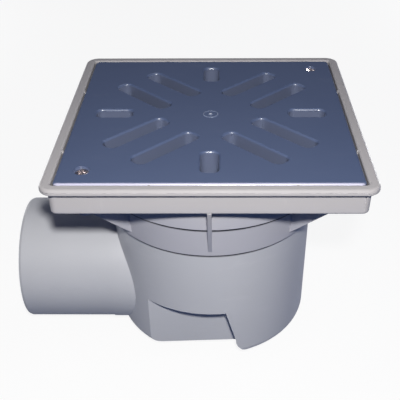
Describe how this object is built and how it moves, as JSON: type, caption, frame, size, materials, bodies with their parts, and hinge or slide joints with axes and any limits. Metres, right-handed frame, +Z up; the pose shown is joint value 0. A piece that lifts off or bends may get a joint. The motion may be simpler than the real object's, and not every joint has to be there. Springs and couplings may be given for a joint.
{
  "type": "floor gully trap",
  "caption": "Square floor gully with a slotted plastic cover in a ribbed frame, a round trap pot with a low side spigot, a silt basket and a removable odour trap.",
  "frame": {"origin": "on the pot's vertical axis, in the plane of the ring that the gully stands on", "axes": "+Z up through the cover, -X along the outlet spigot"},
  "size_m": [0.2875, 0.24, 0.2057],
  "materials": {
    "grey_plastic": "satin moulded",
    "blue_plastic": "satin moulded",
    "dark_plastic": "satin moulded",
    "black_rubber": "matte",
    "stainless_steel": "bright",
    "brass": "turned"
  },
  "bodies": {
    "root": {"pot": "grey_plastic", "frame": "grey_plastic", "neck_seal": "black_rubber", "grate": "blue_plastic", "cover_screw_front": "stainless_steel", "cover_screw_rear": "stainless_steel", "insert_front": "brass", "insert_rear": "brass", "silt_basket": "dark_plastic", "trap_hood": "dark_plastic", "trap_seal": "black_rubber", "rodding_plug": "dark_plastic", "plug_seal": "black_rubber"}
  },
  "joints": []
}
